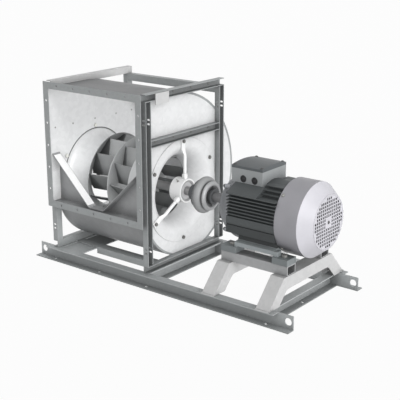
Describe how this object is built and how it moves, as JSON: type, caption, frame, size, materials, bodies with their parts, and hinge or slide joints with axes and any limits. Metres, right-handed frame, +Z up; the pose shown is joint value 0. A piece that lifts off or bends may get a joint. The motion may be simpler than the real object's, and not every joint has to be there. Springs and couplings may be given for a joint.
{
  "type": "double inlet centrifugal fan",
  "caption": "Square-outlet scroll fan with an inlet on both sides, driven through a tyre coupling by a foot-mounted finned motor on one base frame.",
  "frame": {"origin": "on the floor, below the shaft, at the impeller's middle plane", "axes": "+X along the shaft from fan to motor, the air leaves towards -Y, +Z up"},
  "size_m": [1.395, 0.6554, 0.8309],
  "materials": {
    "galvanised_sheet": "satin zinc coated sheet",
    "casing_sheet": "bright zinc coated sheet",
    "support_sheet": "bright zinc coated sheet",
    "spider_paint": "light grey paint",
    "rotor_steel": "satin",
    "bright_steel": "turned and ground",
    "zinc_fasteners": "zinc plated",
    "bearing_steel": "ground",
    "black_rubber": "matt",
    "coupling_iron": "dark paint",
    "motor_paint": "semi-gloss dark paint",
    "shield_paint": "semi-gloss light paint",
    "cowl_paint": "semi-gloss light paint",
    "terminal_paint": "semi-gloss grey paint",
    "core_steel": "laminated core",
    "moulded_plastic": "moulded"
  },
  "bodies": {
    "base_and_casing": {"base_rail_front": "galvanised_sheet", "base_rail_rear": "galvanised_sheet", "base_cross_free_end": "galvanised_sheet", "base_cross_middle": "galvanised_sheet", "base_cross_motor_end": "galvanised_sheet", "base_deck_plate": "galvanised_sheet", "base_inner_bars": "galvanised_sheet", "motor_support_fan_end": "support_sheet", "motor_support_tail_end": "support_sheet", "motor_rail_front": "support_sheet", "motor_rail_rear": "support_sheet", "frame_post_front_free_side": "galvanised_sheet", "frame_post_rear_free_side": "galvanised_sheet", "frame_beam_bottom_free_side": "galvanised_sheet", "frame_beam_middle_free_side": "galvanised_sheet", "frame_beam_top_free_side": "galvanised_sheet", "side_plate_free_side": "casing_sheet", "inlet_cone_free_side": "casing_sheet", "bearing_spider_free_side": "spider_paint", "frame_post_front_drive_side": "galvanised_sheet", "frame_post_rear_drive_side": "galvanised_sheet", "frame_beam_bottom_drive_side": "galvanised_sheet", "frame_beam_middle_drive_side": "galvanised_sheet", "frame_beam_top_drive_side": "galvanised_sheet", "side_plate_drive_side": "casing_sheet", "inlet_cone_drive_side": "casing_sheet", "bearing_spider_drive_side": "spider_paint", "frame_tie_rear": "galvanised_sheet", "frame_joint_plate": "galvanised_sheet", "scroll_wrap": "casing_sheet", "cutoff_tongue": "casing_sheet", "outlet_flange": "casing_sheet", "bearing_cushions": "black_rubber", "fan_bearing_outer_rings": "bearing_steel", "inlet_ring_fasteners": "zinc_fasteners", "motor_foot_bolts": "zinc_fasteners", "motor_housing": "motor_paint", "motor_shield_drive_end": "shield_paint", "motor_shield_tail_end": "motor_paint", "motor_bearings": "bearing_steel", "motor_stator_core": "core_steel", "motor_cowl": "cowl_paint", "terminal_box_body": "terminal_paint", "terminal_box_lid": "terminal_paint", "terminal_entry_plugs": "moulded_plastic"},
    "fan_rotor": {"fan_shaft": "bright_steel", "impeller_centre_disc": "rotor_steel", "impeller_blades_free_side": "rotor_steel", "impeller_blades_drive_side": "rotor_steel", "impeller_shroud_free_side": "rotor_steel", "impeller_shroud_drive_side": "rotor_steel", "fan_bearing_inner_rings": "bearing_steel", "coupling_hub_fan_side": "coupling_iron", "coupling_tyre": "black_rubber", "shaft_keys": "bright_steel"},
    "motor_rotor": {"motor_shaft": "bright_steel", "motor_rotor_core": "core_steel", "motor_cooling_fan": "moulded_plastic", "coupling_hub_motor_side": "coupling_iron"}
  },
  "joints": [
    {"name": "fan_spin", "type": "hinge", "parent": "base_and_casing", "child": "fan_rotor", "pos_m": [0, 0, 0.37], "axis": [1, 0, 0], "continuous": true},
    {"name": "motor_spin", "type": "hinge", "parent": "base_and_casing", "child": "motor_rotor", "pos_m": [0.6, 0, 0.37], "axis": [1, 0, 0], "continuous": true}
  ],
  "couplings": [
    {"joint": "motor_spin", "follows": "fan_spin", "ratio": 1}
  ]
}
